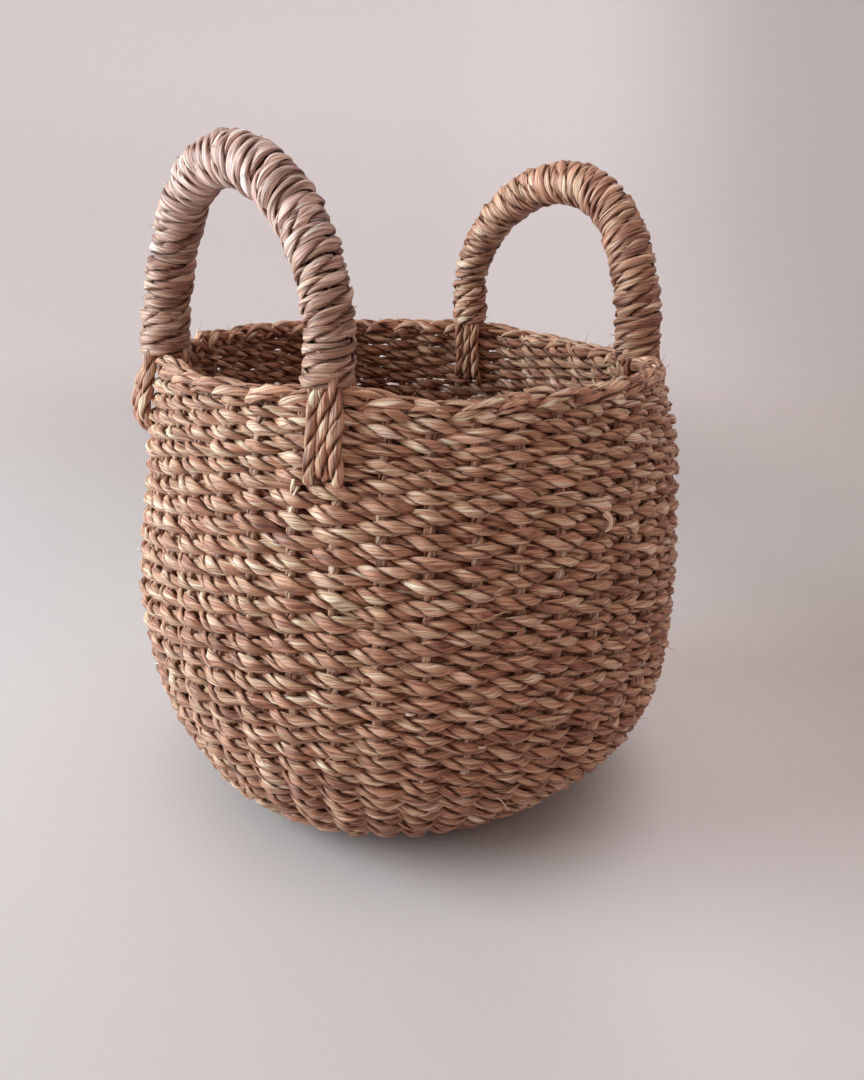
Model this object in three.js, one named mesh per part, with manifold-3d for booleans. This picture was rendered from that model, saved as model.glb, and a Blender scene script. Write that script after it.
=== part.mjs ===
// A round-bellied seagrass basket with two wrapped loop handles.
// Stakes cross under the base and rise in the middle of the wall. Each course of weft passes in front of one stake
// and behind the next, and its neighbours pass the other way, so every course is locked between two others.
// Each handle is a bundle of cords bound by one winding. The cords' ends run down the wall, three outside and three
// inside. Two stakes and two courses of the real basket are one here.
// Units are millimetres. The basket stands on z = 0, centred on the Z axis, with a handle over each of -Y and +Y.
import * as THREE from "three";
import { mergeVertices } from "three/addons/utils/BufferGeometryUtils.js";
import Module from "manifold-3d";

// Body
const bodyHeight = 246; // floor to the top of the rim
const bellyRadius = 150; // outside, at the widest course
const bellyHeight = 123;
const rimRadius = 133.5; // outside, at the rim
const footRadius = 72; // flat part of the underside

// Weave
const crossingCords = 11; // cords that cross under the base, each of which makes two stakes
const stakeThickness = 3.2;
const stakeWidth = 4.4;
const weftThickness = 4.6;
const weftShoulder = 0.35; // share of the thickness by which a course's ridge stands proud of its edges
const weftPitch = 9.2; // of a course, nominal: the wall takes a whole number of courses
const weaveClearance = 0.5; // between a course and the stake that it passes
const stakeChordError = 0.45; // how far a stake's facets may leave the wall's curve
const seatGap = 0.3; // left between pieces that touch

// Rim border and base
const borderHeight = 7;
const borderHalfWidth = 6.2;
const borderHump = 1; // how far the border drops between two folded stake ends
const matGroove = 1; // depth of the grooves between the rows of the base
const hubMargin = 3; // of the hub beyond where the stakes meet

// Handles
const cordDiameter = 5.6;
const cordSpacing = 6; // in the arch
const legSpacing = 7.2; // in the rows of three on the wall
const cordSides = 5;
const legLength = 38; // of the cords' ends, down the wall from the rim
const handleStraight = 14; // height over which the bundle gathers, before the arch bends
const gatherSteps = 2;
const archSteps = 20;
const wrapThickness = 3.2;
const wrapClearance = 0.5; // between the winding and the cords
const wrapFootEase = 1.1; // more of it at the rim, where the cords still turn
const wrapTurns = 24;
const wrapSteps = 12; // of one turn
const wrapGap = 0.75; // between one turn and the next, along the arch
const rimClearance = 0.4; // between the rim and the winding's lowest turn
const handles = [
  { name: "handle_left", angle: -87.3, span: 58.5, rise: 90, lean: -4 },
  { name: "handle_right", angle: 89.5, span: 65.5, rise: 88.5, lean: -5 },
];

// Colours, dry seagrass
const weftColour = 0xb08b70;
const stakeColour = 0xa07c62;
const baseColour = 0xa5816a;
const borderColour = 0xc0a085;
const cordColour = 0x8f6b54;
const wrapColour = 0xb8967b;

const wasm = await Module();
wasm.setup();

const basket = new THREE.Group();
const up = new THREE.Vector3(0, 0, 1);
const stakes = 2 * crossingCords;

function addPiece(name, geometry, colour) {
  const material = new THREE.MeshStandardMaterial({ color: colour, roughness: 0.85, metalness: 0 });
  const mesh = new THREE.Mesh(geometry, material);
  mesh.name = name;
  basket.add(mesh);
}

// Joins a row of sections, each with as many points, into one closed body. A closed row runs back to its start,
// and an open one ends in flat caps.
function loft(sections, closed) {
  const sides = sections[0].length;
  const rows = sections.length;
  const positions = sections.flat().flatMap((point) => [point.x, point.y, point.z]);
  const index = [];
  for (let row = 0; row < (closed ? rows : rows - 1); row++) {
    const next = (row + 1) % rows;
    for (let side = 0; side < sides; side++) {
      const turn = (side + 1) % sides;
      const corners = [row * sides + side, row * sides + turn, next * sides + turn, next * sides + side];
      index.push(corners[0], corners[1], corners[2], corners[0], corners[2], corners[3]);
    }
  }
  if (!closed) {
    for (let side = 1; side < sides - 1; side++) {
      const last = (rows - 1) * sides;
      index.push(0, side + 1, side);
      index.push(last, last + side, last + side + 1);
    }
  }
  const geometry = new THREE.BufferGeometry();
  geometry.setAttribute("position", new THREE.Float32BufferAttribute(positions, 3));
  geometry.setIndex(index);
  return facingOut(geometry);
}

// Turns every face round where the body's signed volume says that they face in
function facingOut(geometry) {
  const index = geometry.getIndex().array;
  const points = geometry.getAttribute("position");
  const [a, b, c] = [new THREE.Vector3(), new THREE.Vector3(), new THREE.Vector3()];
  let volume = 0;
  for (let i = 0; i < index.length; i += 3) {
    a.fromBufferAttribute(points, index[i]);
    b.fromBufferAttribute(points, index[i + 1]);
    c.fromBufferAttribute(points, index[i + 2]);
    volume += a.dot(b.cross(c));
  }
  if (volume < 0) {
    for (let i = 0; i < index.length; i += 3) {
      [index[i], index[i + 1]] = [index[i + 1], index[i]];
    }
  }
  return geometry;
}

function toSolid(geometry) {
  const bare = geometry.clone();
  bare.deleteAttribute("normal");
  bare.deleteAttribute("uv");
  const merged = mergeVertices(bare, 1e-4);
  return new wasm.Manifold(
    new wasm.Mesh({
      numProp: 3,
      vertProperties: new Float32Array(merged.getAttribute("position").array),
      triVerts: new Uint32Array(merged.getIndex().array),
    }),
  );
}

function fromSolid(solid) {
  const mesh = solid.getMesh();
  const geometry = new THREE.BufferGeometry();
  geometry.setAttribute("position", new THREE.Float32BufferAttribute(mesh.vertProperties, 3));
  geometry.setIndex(new THREE.Uint32BufferAttribute(mesh.triVerts, 1));
  return geometry;
}

// How far a course swings to either side of the wall's middle surface, to clear the corners of a stake at this radius
function swingAt(radius) {
  const stakeSpacing = (2 * Math.PI * radius) / stakes;
  return (stakeThickness / 2 + weaveClearance + weftThickness / 2) / (1 - stakeWidth / stakeSpacing);
}

// The wall's middle surface as a profile of radius and height: flat base, elliptical haunch, drawn-in shoulder
const crestAt = (radius) => swingAt(radius) + weftThickness / 2;
const floorRise = 0.1; // of the lowest weft above the flat of the base
const baseLevel = crestAt(footRadius) + floorRise;
const bellyMiddle = bellyRadius - crestAt(bellyRadius);
const rimMiddle = rimRadius - crestAt(rimRadius);
const profile = new THREE.Path();
profile.moveTo(0, baseLevel);
profile.lineTo(footRadius, baseLevel);
profile.absellipse(
  footRadius,
  bellyHeight,
  bellyMiddle - footRadius,
  bellyHeight - baseLevel,
  -Math.PI / 2,
  0,
  false,
);
profile.quadraticCurveTo(bellyMiddle, (bellyHeight + bodyHeight) / 2, rimMiddle, bodyHeight);
const profileLength = profile.getLength();

// The profile's point and outward normal at a distance along it from the centre of the base
function wallAt(distance) {
  const step = 0.01;
  const t = THREE.MathUtils.clamp(distance / profileLength, 0, 1);
  const point = profile.getPoint(t);
  const before = profile.getPoint(Math.max(t - step / profileLength, 0));
  const after = profile.getPoint(Math.min(t + step / profileLength, 1));
  const tangent = after.sub(before).normalize();
  return { radius: point.x, height: point.y, normal: new THREE.Vector2(tangent.y, -tangent.x) };
}

// A point of the basket, by its distance along the wall, its depth outward from the middle surface and its angle
function onWall(distance, depth, angle) {
  const wall = wallAt(distance);
  const radius = wall.radius + depth * wall.normal.x;
  return new THREE.Vector3(
    radius * Math.cos(angle),
    radius * Math.sin(angle),
    wall.height + depth * wall.normal.y,
  );
}

// Weft courses, from the edge of the base to the rim border
const courseStart = footRadius;
const borderStart = profileLength - borderHeight;
const courseCount = Math.round((borderStart - courseStart) / weftPitch);
const coursePitch = (borderStart - courseStart) / courseCount;

function weftCourse(course) {
  const low = courseStart + course * coursePitch + seatGap / 2;
  const high = low + coursePitch - seatGap;
  const middle = (low + high) / 2;
  const swing = swingAt(wallAt(middle).radius);
  const sections = [];
  for (let stake = 0; stake < stakes; stake++) {
    const angle = (2 * Math.PI * stake) / stakes;
    const depth = (stake + course) % 2 === 0 ? swing : -swing;
    const ridge = depth + weftThickness / 2;
    const shoulder = ridge - weftThickness * weftShoulder;
    const back = depth - weftThickness / 2;
    sections.push([
      onWall(low, back, angle),
      onWall(low, shoulder, angle),
      onWall(middle, ridge, angle),
      onWall(high, shoulder, angle),
      onWall(high, back, angle),
    ]);
  }
  return loft(sections, true);
}

for (let course = 0; course < courseCount; course++) {
  const number = String(course + 1).padStart(2, "0");
  addPiece(`weft_course_${number}`, weftCourse(course), weftColour);
}

// Stakes: spokes of one cross that is knotted at the centre of the base
const hubRadius = (stakes * stakeWidth) / (2 * Math.PI) + hubMargin;
const stakeEnd = borderStart - seatGap;

// Distances along the wall at which straight facets keep within the chord error of its curve
function stakeStations() {
  const stations = [hubRadius - hubMargin, courseStart];
  const search = 1; // step of the search along the wall
  let start = courseStart;
  for (let end = start + search; end < stakeEnd; end += search) {
    const chordMiddle = onWall(start, 0, 0).add(onWall(end + search, 0, 0)).multiplyScalar(0.5);
    if (chordMiddle.distanceTo(onWall((start + end + search) / 2, 0, 0)) > stakeChordError) {
      stations.push(end);
      start = end;
    }
  }
  stations.push(stakeEnd);
  return stations;
}

function stakeCross() {
  const stations = stakeStations();
  const hub = new THREE.CylinderGeometry(hubRadius, hubRadius, stakeThickness, stakes);
  hub.rotateX(Math.PI / 2);
  hub.translate(0, 0, baseLevel);
  let cross = toSolid(hub);
  for (let stake = 0; stake < stakes; stake++) {
    const angle = (2 * Math.PI * stake) / stakes;
    const across = new THREE.Vector3(-Math.sin(angle), Math.cos(angle), 0).multiplyScalar(stakeWidth / 2);
    const sections = stations.map((distance) => {
      const outer = onWall(distance, stakeThickness / 2, angle);
      const inner = onWall(distance, -stakeThickness / 2, angle);
      return [outer.clone().add(across), inner.clone().add(across), inner.sub(across), outer.sub(across)];
    });
    cross = cross.add(toSolid(loft(sections, false)));
  }
  return fromSolid(cross);
}

addPiece("stakes", stakeCross(), stakeColour);

// Base mats: the rows of weft below and above the spokes. The lower one rests on the floor, on flat lands.
function baseMat(faceLevel, backLevel) {
  const rows = Math.round(footRadius / (2 * weftPitch));
  const rowWidth = (footRadius - seatGap) / rows;
  const landShare = 0.62; // of a row's width that is flat
  const grooveLevel = faceLevel + Math.sign(backLevel - faceLevel) * matGroove;
  const points = [new THREE.Vector2(0, faceLevel)];
  for (let row = 0; row < rows; row++) {
    const landEnd = (row + (1 + landShare) / 2) * rowWidth;
    points.push(new THREE.Vector2(landEnd, faceLevel));
    points.push(new THREE.Vector2((row + 1) * rowWidth, grooveLevel));
    if (row < rows - 1) {
      points.push(new THREE.Vector2((row + 1 + (1 - landShare) / 2) * rowWidth, faceLevel));
    }
  }
  points.push(new THREE.Vector2(rows * rowWidth, backLevel), new THREE.Vector2(0, backLevel));
  const turned = new THREE.LatheGeometry(points, stakes);
  turned.rotateX(Math.PI / 2);
  turned.rotateZ(Math.PI / 2);
  return facingOut(fromSolid(toSolid(facingOut(turned))));
}

const spokeRoom = stakeThickness / 2 + seatGap;
addPiece("base_mat_lower", baseMat(0, baseLevel - spokeRoom), baseColour);
addPiece("base_mat_upper", baseMat(2 * baseLevel, baseLevel + spokeRoom), baseColour);

// Rim border: the stakes' ends laid over one another along the top, with a hump at each. Between two stakes its
// underside lies on the straight between them, as the facets of the last course do.
function rimBorder() {
  const stations = 2 * stakes;
  const low = borderStart + seatGap / 2;
  const middle = (low + profileLength) / 2;
  const topShare = 0.45; // of the half width that the crown keeps at its top
  const footShare = 0.7;
  const underside = (depth, station) => {
    const reach = station % 2;
    const ends = [-reach, reach].map((side) => onWall(low, depth, (2 * Math.PI * (station + side)) / stations));
    return ends[0].lerp(ends[1], 0.5);
  };
  const sections = [];
  for (let station = 0; station < stations; station++) {
    const angle = (2 * Math.PI * station) / stations;
    const top = station % 2 === 0 ? profileLength : profileLength - borderHump;
    sections.push([
      underside(borderHalfWidth * footShare, station),
      onWall(middle, borderHalfWidth, angle),
      onWall(top, borderHalfWidth * topShare, angle),
      onWall(top, -borderHalfWidth * topShare, angle),
      onWall(middle, -borderHalfWidth, angle),
      underside(-borderHalfWidth * footShare, station),
    ]);
  }
  return loft(sections, true);
}

addPiece("rim_border", rimBorder(), borderColour);

// Handles
const legDepth = crestAt(rimRadius) + seatGap + cordDiameter / 2;
const rimTop = onWall(profileLength, borderHalfWidth, 0).z;
const wrapStart = rimTop - bodyHeight + rimClearance;

// The seven cords of a bundle: where each lies in the arch, and its leg, which is outside, inside or none
const bundle = [
  { name: "outer_a", turn: -60, row: -1, side: 1 },
  { name: "outer_b", turn: 0, row: 0, side: 1 },
  { name: "outer_c", turn: 60, row: 1, side: 1 },
  { name: "inner_a", turn: -120, row: -1, side: -1 },
  { name: "inner_b", turn: 180, row: 0, side: -1 },
  { name: "inner_c", turn: 120, row: 1, side: -1 },
  { name: "middle", turn: 0, row: 0, side: 0 },
];

// A handle's centre line: an upright arch over the chord between its feet, sheared along the chord by its lean.
// Its frame holds the way out from the basket and the way in to the arch's hollow, with distances in millimetres.
function makeArch(handle) {
  const angles = [-1, 1].map((side) => THREE.MathUtils.degToRad(handle.angle + (side * handle.span) / 2));
  const feet = angles.map((angle) => onWall(profileLength, 0, angle));
  const halfChord = feet[0].distanceTo(feet[1]) / 2;
  const centre = feet[0].clone().add(feet[1]).multiplyScalar(0.5);
  const along = feet[1].clone().sub(feet[0]).normalize();
  const out = along.clone().cross(up);
  const outline = new THREE.Path();
  outline.moveTo(-halfChord, 0);
  outline.lineTo(-halfChord, handleStraight);
  outline.absellipse(0, handleStraight, halfChord, handle.rise - handleStraight, Math.PI, 0, true);
  outline.lineTo(halfChord, 0);
  const length = outline.getLength();
  const pointAt = (distance) => {
    const flat = outline.getPoint(THREE.MathUtils.clamp(distance / length, 0, 1));
    const point = centre.clone().addScaledVector(along, flat.x + (handle.lean * flat.y) / handle.rise);
    return point.addScaledVector(up, flat.y);
  };
  const frameAt = (distance) => {
    const step = 0.05;
    const inside = THREE.MathUtils.clamp(distance, step, length - step);
    const tangent = pointAt(inside + step).sub(pointAt(inside - step)).normalize();
    return { point: pointAt(distance), tangent, out, inward: tangent.clone().cross(out) };
  };
  const radials = angles.map((angle) => new THREE.Vector3(Math.cos(angle), Math.sin(angle), 0));
  return { angles, radials, out, length, frameAt };
}

// How far the bundle has gathered at a distance along the arch, from 0 at the rim to 1 where the arch bends
function gatheredShare(arch, distance) {
  const height = Math.min(distance, arch.length - distance);
  return THREE.MathUtils.clamp((height - wrapStart) / (handleStraight - wrapStart), 0, 1);
}

// The middle of one cord at a distance along the arch. Over each straight foot of the arch the bundle gathers, from
// two rows of three that straddle the wall to six cords round a seventh, and turns from the wall to the arch.
function cordInArch(arch, cord, distance) {
  const foot = distance < arch.length / 2 ? 0 : 1;
  const share = gatheredShare(arch, distance);
  const frame = arch.frameAt(distance);
  const spacing = cord.side === 0 ? 0 : cordSpacing;
  const turn = THREE.MathUtils.degToRad(cord.turn);
  const outward = arch.radials[foot].clone().lerp(frame.out, share).normalize();
  const inward = frame.tangent.clone().cross(outward).normalize();
  const outReach = THREE.MathUtils.lerp(cord.side * legDepth, spacing * Math.cos(turn), share);
  const inReach = THREE.MathUtils.lerp(cord.row * legSpacing, spacing * Math.sin(turn), share);
  return frame.point.addScaledVector(outward, outReach).addScaledVector(inward, inReach);
}

// The middle of one cord down the wall, below the foot of the arch
function cordOnWall(arch, cord, foot) {
  if (cord.side === 0) {
    return [];
  }
  const depth = cord.side * legDepth;
  return [legLength, legLength / 2].map((drop) => {
    const distance = profileLength - drop;
    const radius = wallAt(distance).radius + depth;
    const shift = ((foot === 0 ? 1 : -1) * cord.row * legSpacing) / radius;
    return { point: onWall(distance, depth, arch.angles[foot] + shift), out: arch.radials[foot] };
  });
}

function cordCentres(arch, cord) {
  const steps = (from, to, count) =>
    Array.from({ length: count }, (_, step) => THREE.MathUtils.lerp(from, to, step / count));
  const bend = arch.length - handleStraight;
  const distances = [
    ...steps(wrapStart, handleStraight, gatherSteps),
    ...steps(handleStraight, bend, archSteps),
    ...steps(bend, arch.length - wrapStart, gatherSteps),
    arch.length - wrapStart,
  ];
  const middle = distances.map((distance) => ({ point: cordInArch(arch, cord, distance), out: arch.out }));
  return [...cordOnWall(arch, cord, 0), ...middle, ...cordOnWall(arch, cord, 1).reverse()];
}

function cordSolid(arch, cord) {
  const centres = cordCentres(arch, cord);
  const sections = centres.map(({ point, out }, i) => {
    const before = centres[Math.max(i - 1, 0)].point;
    const after = centres[Math.min(i + 1, centres.length - 1)].point;
    const tangent = after.clone().sub(before).normalize();
    const first = out.clone().addScaledVector(tangent, -out.dot(tangent)).normalize();
    const second = tangent.clone().cross(first);
    return Array.from({ length: cordSides }, (_, side) => {
      const turn = (2 * Math.PI * side) / cordSides;
      return point
        .clone()
        .addScaledVector(first, (cordDiameter / 2) * Math.cos(turn))
        .addScaledVector(second, (cordDiameter / 2) * Math.sin(turn));
    });
  });
  return loft(sections, false);
}

// Where the cords cross the plane of the winding at a distance along the arch, as [out, inward] from its centre line
function bundleAt(arch, distance) {
  const frame = arch.frameAt(distance);
  return bundle.map((cord) => {
    const offset = cordInArch(arch, cord, distance).sub(frame.point);
    return [offset.dot(frame.out), offset.dot(frame.inward)];
  });
}

// A corner of the winding: where two of the planes that touch the bundle meet, moved out by a margin
function wrapCorner(arch, distance, corner, margin) {
  const centres = bundleAt(arch, distance);
  const room = margin + wrapFootEase * (1 - gatheredShare(arch, distance));
  const touch = [corner, corner + 1].map((step) => {
    const turn = (2 * Math.PI * step) / wrapSteps;
    const reach = Math.max(...centres.map(([a, b]) => a * Math.cos(turn) + b * Math.sin(turn)));
    return { turn, reach: reach + cordDiameter / 2 + room };
  });
  const sine = Math.sin(touch[1].turn - touch[0].turn);
  const a = (touch[0].reach * Math.sin(touch[1].turn) - touch[1].reach * Math.sin(touch[0].turn)) / sine;
  const b = (touch[1].reach * Math.cos(touch[0].turn) - touch[0].reach * Math.cos(touch[1].turn)) / sine;
  const frame = arch.frameAt(distance);
  return frame.point.addScaledVector(frame.out, a).addScaledVector(frame.inward, b);
}

// The winding is one unbroken strip. Its first and last turns taper, so that it starts and ends square to the arch.
function wrapSections(arch) {
  const run = arch.length - 2 * wrapStart;
  const pitch = run / (wrapTurns - 1);
  const tipSteps = Math.ceil(((2 * wrapGap) / pitch) * wrapSteps);
  const shoulderShare = 0.25; // of the strip's width that slopes at each edge
  const sections = [];
  for (let step = tipSteps; step <= wrapTurns * wrapSteps - tipSteps; step++) {
    const turns = step / wrapSteps;
    const low = wrapStart + pitch * THREE.MathUtils.clamp(turns - 1, 0, wrapTurns - 1);
    const high = wrapStart + pitch * THREE.MathUtils.clamp(turns, 0, wrapTurns - 1) - wrapGap;
    const shoulder = (high - low) * shoulderShare;
    sections.push([
      wrapCorner(arch, low, step, wrapClearance),
      wrapCorner(arch, low + shoulder, step, wrapClearance + wrapThickness),
      wrapCorner(arch, high - shoulder, step, wrapClearance + wrapThickness),
      wrapCorner(arch, high, step, wrapClearance),
    ]);
  }
  return sections;
}

// The least gap between one turn of a winding and the next, on points along the facing edges
function leastTurnGap(sections) {
  const samples = 5;
  let least = Infinity;
  for (let i = 0; i + wrapSteps + 1 < sections.length; i++) {
    for (let a = 0; a <= samples; a++) {
      const upper = sections[i][3].clone().lerp(sections[i][2], a / samples);
      for (let b = 0; b <= samples; b++) {
        const lower = sections[i + wrapSteps][0].clone().lerp(sections[i + wrapSteps + 1][0], b / samples);
        const lowerSlope = sections[i + wrapSteps][0].clone().lerp(sections[i + wrapSteps][1], b / samples);
        least = Math.min(least, upper.distanceTo(lower), upper.distanceTo(lowerSlope));
      }
    }
  }
  return least;
}

for (const handle of handles) {
  const arch = makeArch(handle);
  for (const cord of bundle) {
    addPiece(`${handle.name}_cord_${cord.name}`, cordSolid(arch, cord), cordColour);
  }
  const sections = wrapSections(arch);
  addPiece(`${handle.name}_wrap`, loft(sections, false), wrapColour);
  console.log(`${handle.name}_wrap: least gap between turns ${leastTurnGap(sections).toFixed(2)} mm`);
}

export default basket;
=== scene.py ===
"""Looks of a seagrass basket with two wrapped handles, each rope and winding as twisted strands of leaf."""

import math

import bpy
import numpy as np
from mathutils import Matrix


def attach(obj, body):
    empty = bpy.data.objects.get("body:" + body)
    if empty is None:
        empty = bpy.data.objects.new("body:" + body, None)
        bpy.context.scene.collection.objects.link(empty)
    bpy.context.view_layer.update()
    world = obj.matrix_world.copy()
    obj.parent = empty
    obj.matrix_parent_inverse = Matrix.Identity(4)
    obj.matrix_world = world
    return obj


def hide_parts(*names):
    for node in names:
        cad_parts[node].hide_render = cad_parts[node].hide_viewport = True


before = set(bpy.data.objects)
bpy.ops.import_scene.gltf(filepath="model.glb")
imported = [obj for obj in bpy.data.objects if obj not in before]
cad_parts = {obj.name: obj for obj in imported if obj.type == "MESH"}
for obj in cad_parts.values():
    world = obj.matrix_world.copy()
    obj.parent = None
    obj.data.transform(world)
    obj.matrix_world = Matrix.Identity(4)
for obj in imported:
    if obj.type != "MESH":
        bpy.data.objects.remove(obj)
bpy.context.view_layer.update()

# Sizes in millimetres, as in the part's source
MM = 0.001
BODY_HEIGHT = 246.0
BELLY_RADIUS = 150.0
BELLY_HEIGHT = 123.0
RIM_RADIUS = 133.5
FOOT_RADIUS = 72.0
BORDER_HEIGHT = 7.0

# Weave: a stake is a thin cord, a course is a rope that is flat over a stake and squeezed between two
STAKES = 44
STAKE_PHASE = math.radians(2.9)
STAKE_RADIUS = 2.6
STAKE_REACH = 2.3  # half its depth
STAKE_LAY = 30.0
STAKE_WAVE = 1.0  # how far it gives way to the courses that pass it
STAKE_STARTS = (60.0, 26.0)  # from the base's centre, in turn
PAIR_GAP = 5.0  # between two stakes that run as a pair near there
PAIRING = (FOOT_RADIUS - 4.0, 45.0)  # where they close up, going inwards
STAKE_DEPTH = 0.2  # outwards from the wall's middle
COURSES_PER_NODE = 2
CLOSE_COURSES = 8  # under the rim
CLOSE_PITCH = 4.05
SWING = 3.0
SWING_POWER = 0.85  # below 1, a course crosses the wall quickly
BUMP_DEPTH = 3.1  # half the rope's depth over a stake
NECK_DEPTH = 2.8  # and between two stakes
BUMP_SHARE = 0.75  # half the rope's height over a stake, of the pitch
NECK_SHARE = 0.61
ROPE_REACH = 1.26  # of its plies with their ridges, of half its depth
COURSE_WAVER = 1.5  # how far its twist runs ahead and behind
SWING_UNEVEN = 0.10  # this and the next three are shares by which bumps differ
SHIFT_UNEVEN = 0.09
HEIGHT_UNEVEN = 0.12
DEPTH_UNEVEN = 0.06
DRIFT = 1.1  # of the courses' longer waves
ROPE_LAY = 25.0  # length of one full twist
LEAF_TWIST = 1.35  # turns of the leaves against each of the rope's, which lays them along it
THIN_COURSES = range(46, 51)  # where light comes through beside the stakes, at the back
THIN_ANGLE = math.radians(135.0)
THINNING = 0.34
THIN_PERIOD = 45.0
FLOOR_GAP = 0.1
PAINTED_WALL_LIGHT = 0.55  # painted light from above: how much lighter the wall gets over these heights
PAINTED_WALL_LIGHT_HEIGHTS = (60.0, 200.0)
PAINTED_INSIDE_SHADE = -1.1  # painted shade: how much darker a rope is where it lies on the inside of the wall
WALL_FRAYS = 7  # loose fibres on each course
FRAY_CLEARANCE = 8.0  # none of them is nearer to the floor
CREST = SWING + BUMP_DEPTH

# Leaf ends that stick out: height and angle on the wall, length, width, heading (0 right, 90 up) and bend
LOOSE_LEAVES = (
    (193.5, -5.4, 11.0, 1.9, -35.0, -125.0),
    (109.5, -41.5, 4.5, 0.9, 20.0, -30.0),
    (91.0, -28.5, 4.0, 0.7, 10.0, 20.0),
    (210.0, -62.0, 6.5, 0.8, -70.0, -45.0),
    (207.0, -61.0, 5.0, 0.6, -95.0, -30.0),
    (150.0, -95.0, 4.5, 0.9, -20.0, 40.0),
    (71.0, -70.0, 6.0, 1.0, -30.0, 20.0),
)

# Where the wall leaves its even shape: height, angle, reach up and down, reach round and how far out
DENTS = (
    (68.0, 34.0, 34.0, 60.0, 3.6),
    (48.0, -116.0, 34.0, 60.0, 1.4),
    (20.0, -80.0, 18.0, 45.0, 2.6),
    (18.0, 0.0, 22.0, 40.0, -3.5),
    (172.0, -116.0, 36.0, 45.0, -2.4),
    (246.0, 34.0, 26.0, 35.0, -2.8),
)
DENTS_START = (7.0, 19.0)  # heights between which they set in

# Angle and sag of the rim, which is deepest between the handles' feet, and where up the wall it begins
RIM_SAGS = (
    (-116.0, 2.8), (-98.0, 4.6), (-78.0, 4.6), (-58.0, 1.4), (-45.0, 2.4), (-38.0, 4.7),
    (-31.0, 5.0), (-24.0, 2.2), (-17.0, 0.6), (42.0, 0.6), (57.0, 3.6), (76.0, 7.2),
    (88.0, 6.6), (108.0, 3.8), (122.0, 1.2), (180.0, 2.4),
)
SAG_START = 192.0

# How a rope's plies vary along it: pairs are an amount and the length over which it changes
PACE_PERIOD = 38.0
PLY_TURN = (0.25, 21.0)
PLY_ROLL = (0.5, 45.0)
FOLD_TURNS = ((2.0, 40.0), (2.5, 25.0))
THICK_PERIOD = 14.0
TONES = ((0.9, 19.0), (0.4, 9.0))
HUES = (0.7, 40.0)
PLY_TONE = 0.35  # how far one ply differs from the other
PLY_HUE = 0.4
PLY_SHAPES = {2: (0.47, 0.80), 3: (0.52, 0.68)}  # a ply's way off the middle, and its width
TIP = 0.2  # thickness of a tapered end
PAINTED_GROOVE_SHADE = (0.55, 0.92)  # painted shade: from the dark middle of a rope to its lit outside, of its half size
SEED_SPREAD = 997.0  # between two strands' places in the leaf pattern

# Base: inside HALVED only every other stake is left, and inside BOUND none, where the rope binds itself
BASE_PITCH = 4.7
HALVED = 58.0
BOUND = 24.0
BOUND_BUMPS = 12
BASE_END = 16.0
SWING_SPACING = 9.0  # of stakes, below which a round of the base swings less
SPIRAL_TURNS = 3.0
SPIRAL_PITCH = 4.6
SPIRAL_LEVEL = 3.1
SPIRAL_HALF = 2.3
SPIRAL_LAY = 17.0

# Border: a fold's route along the rim in stake spacings, its height from the rim's top and its depth
BORDER_ROUTE = (
    (-0.60, -5.5, 2.2),
    (-0.35, -3.2, 4.6),
    (0.05, -0.8, 4.7),
    (0.45, 0.8, 3.0),
    (0.85, 1.0, -0.2),
    (1.20, -0.8, -3.4),
    (1.45, -4.5, -4.8),
)
FOLD_LIFTS = (-1.1, 1.0)  # these three are ranges for random values
FOLD_LEANS = (-0.08, 0.08)
FOLD_HALVES = (2.5, 3.2)
FOLD_FLATNESS = 0.8
FOLD_LAY = 38.0
FOLD_TONE = 0.45
BORDER_COURSES = (  # below the rim's top, pitch, order, paleness and swing
    (BORDER_HEIGHT - 2.0, 4.4, 58, 0.1, SWING),
    (1.2, 4.6, 59, 0.2, 3.6),
)

# Handles
LEG_LENGTH = 38.0
LEG_SPACING = 5.25
CORD_RADIUS = 2.8
CORD_SPACING = 4.7
CORD_LAY = 21.5
CORD_UNEVEN = (0.06, 20.0)
CORD_SQUEEZE = 0.2  # of its size, under the winding
LEG_SPLAY = 1.6
FAN_START = 16.0  # length over which the fanned legs part from the wall
LEG_DEPTH = CREST + CORD_RADIUS - 0.4  # a little pressed into the wall
LEG_TUCK = 5.5  # how deep a leg's tip goes into the wall
LEG_TUCK_LENGTH = 7.0
HANDLE_STRAIGHT = 14.0
WRAP_PITCH = 6.0
WRAP_HEIGHT = 3.3  # half of one turn's, along the arch
WRAP_DEPTH = 2.05  # half of one turn's, off the bundle
WRAP_LAY = -37.0  # the other way than the ropes
WRAP_RADIUS = 11.0
WRAP_STEPS = 44  # points on one turn
WRAP_FLAT = 0.6  # of its first and its last turn lie flat on the rim
WRAP_CALM = 2.5  # turns at each end that keep their place
WRAP_DRIFT = (0.9, 70.0)
WRAP_HEAPS = ((0.55, 33.0), (0.3, 12.0))
WRAP_HEIGHTS = (0.12, 40.0)
WRAP_DEPTHS = (0.12, 30.0)
WRAP_TUCK = 3.0  # how deep its ends go under
WRAP_STARTS = (-0.5, 3.0)  # above the arch's first foot and its last
WRAP_FEET = (13.0, 11.4)  # its reach at the rim, across the wall and along it

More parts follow.
